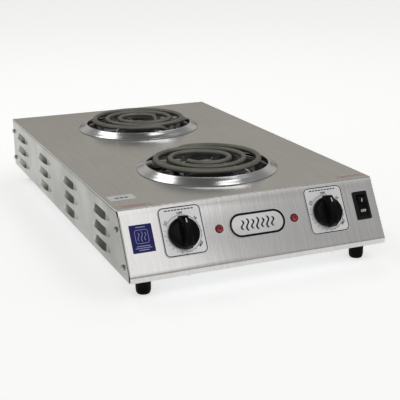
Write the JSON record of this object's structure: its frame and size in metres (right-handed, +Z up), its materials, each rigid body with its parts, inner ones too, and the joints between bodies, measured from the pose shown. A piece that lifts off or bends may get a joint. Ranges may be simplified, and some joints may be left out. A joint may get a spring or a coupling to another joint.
{
  "type": "hot plate burner",
  "caption": "Countertop electric hot plate: coil burners one behind the other on a steel deck, sloped front with knobs, pilot lamps and a rocker switch, louvred sides.",
  "frame": {"origin": "on the surface under the feet, at the middle of the overall footprint", "axes": "+Z up, -Y towards the sloping control panel, +X to the right of someone at the controls"},
  "size_m": [0.365, 0.6198, 0.1218],
  "materials": {
    "brushed_steel": "brushed, satin",
    "galvanised": "galvanised, dull",
    "chrome": "bright plated",
    "zinc": "zinc plated",
    "support_steel": "bright stamped strip",
    "element_sheath": "heat darkened, matt",
    "ceramic": "unglazed ceramic",
    "bakelite": "moulded, dull",
    "black_plastic": "glossy black",
    "plate_silver": "printed plate, satin",
    "red_lens": "translucent red",
    "nylon": "moulded nylon",
    "rubber": "matt rubber",
    "wire_sleeve": "braided glass sleeving"
  },
  "bodies": {
    "housing": {"top_deck": "brushed_steel", "left_side_panel": "brushed_steel", "right_side_panel": "brushed_steel", "rear_panel": "brushed_steel", "base_plate": "galvanised", "front_receptacle_bracket": "galvanised", "rear_receptacle_bracket": "galvanised", "front_trim_ring": "chrome", "rear_trim_ring": "chrome", "front_drip_bowl": "chrome", "rear_drip_bowl": "chrome", "left_regulator_nut": "zinc", "right_regulator_nut": "zinc", "left_front_upper_screw": "zinc", "left_front_lower_screw": "zinc", "left_rear_upper_screw": "zinc", "left_rear_lower_screw": "zinc", "right_front_upper_screw": "zinc", "right_front_lower_screw": "zinc", "right_rear_upper_screw": "zinc", "right_rear_lower_screw": "zinc", "base_screw_1": "zinc", "base_screw_2": "zinc", "base_screw_3": "zinc", "base_screw_4": "zinc", "front_left_foot_stud": "zinc", "front_right_foot_stud": "zinc", "rear_left_foot_stud": "zinc", "rear_right_foot_stud": "zinc", "front_receptacle": "ceramic", "rear_receptacle": "ceramic", "left_regulator": "bakelite", "right_regulator": "bakelite", "switch_housing": "black_plastic", "left_dial_plate": "plate_silver", "right_dial_plate": "plate_silver", "badge": "plate_silver", "left_lamp_lens": "red_lens", "right_lamp_lens": "red_lens", "left_lamp_holder": "nylon", "right_lamp_holder": "nylon", "cord_gland": "nylon", "terminal_block": "nylon", "front_left_foot": "rubber", "front_right_foot": "rubber", "rear_left_foot": "rubber", "rear_right_foot": "rubber", "supply_wires": "wire_sleeve", "left_regulator_wires": "wire_sleeve", "right_regulator_wires": "wire_sleeve", "panel_link_wires": "wire_sleeve"},
    "left_control": {"left_knob": "black_plastic", "left_shaft": "zinc"},
    "right_control": {"right_knob": "black_plastic", "right_shaft": "zinc"},
    "switch_rocker": {"rocker": "black_plastic"},
    "front_coil": {"front_element": "element_sheath", "front_element_support": "support_steel"},
    "rear_coil": {"rear_element": "element_sheath", "rear_element_support": "support_steel"}
  },
  "joints": [
    {"name": "left_knob_turn", "type": "hinge", "parent": "housing", "child": "left_control", "pos_m": [-0.1001, -0.28392, 0.07081], "axis": [0, -0.868, 0.4965], "continuous": true},
    {"name": "right_knob_turn", "type": "hinge", "parent": "housing", "child": "right_control", "pos_m": [0.1001, -0.28392, 0.07081], "axis": [0, -0.868, 0.4965], "continuous": true},
    {"name": "rocker_press", "type": "hinge", "parent": "housing", "child": "switch_rocker", "pos_m": [0.1537, -0.28007, 0.07149], "axis": [-1, 0, 0], "range_deg": [0, 14]},
    {"name": "front_coil_lift", "type": "hinge", "parent": "housing", "child": "front_coil", "pos_m": [0, -0.033, 0.0909], "axis": [-1, 0, 0], "range_deg": [0, 8]},
    {"name": "rear_coil_lift", "type": "hinge", "parent": "housing", "child": "rear_coil", "pos_m": [0, 0.062, 0.0909], "axis": [1, 0, 0], "range_deg": [0, 8]}
  ]
}
